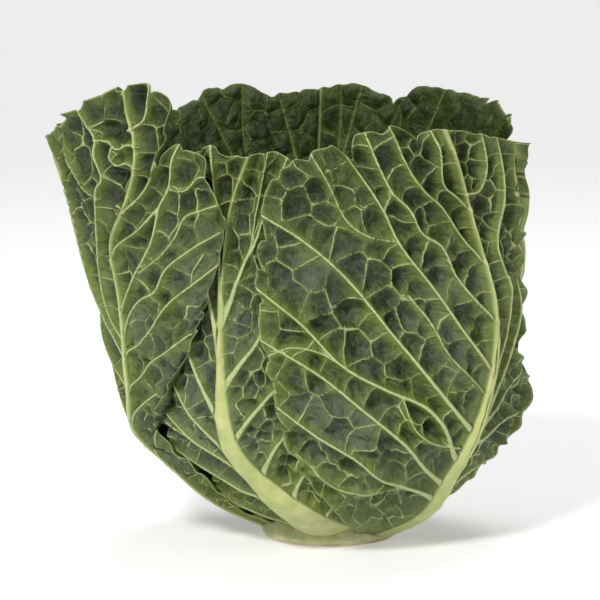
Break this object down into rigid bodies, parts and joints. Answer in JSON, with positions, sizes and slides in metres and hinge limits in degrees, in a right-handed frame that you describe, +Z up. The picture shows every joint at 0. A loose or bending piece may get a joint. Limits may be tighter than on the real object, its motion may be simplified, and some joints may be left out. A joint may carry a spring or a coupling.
{
  "type": "savoy cabbage",
  "caption": "Savoy cabbage standing on its cut stem: crinkled wrapper leaves with pale ribs and veins, open at the top round a tight heart.",
  "frame": {"origin": "middle of the stem's cut face, which the cabbage stands on", "axes": "+Z up through the head, -Y towards the front with its two widest leaves, +X to the right seen from the front"},
  "size_m": [0.2089, 0.171, 0.2025],
  "materials": {
    "outer_green": "crinkled leaf with a thin waxy bloom, dark green between pale yellow-green ribs and veins",
    "inner_green": "crinkled leaf, lighter green, with pale ribs",
    "heart_green": "crinkled leaf, pale yellow-green, slightly glossy",
    "stem_cream": "smooth pale stalk with a dried, brownish cut face"
  },
  "bodies": {
    "root": {"stem": "stem_cream", "heart": "heart_green", "leaf_front_right": "outer_green", "leaf_left": "outer_green", "leaf_front": "outer_green", "leaf_right": "outer_green", "leaf_back": "outer_green", "leaf_inner_right": "inner_green", "leaf_inner_left": "inner_green", "leaf_inner_front": "inner_green", "leaf_inner_back": "inner_green"}
  },
  "joints": []
}
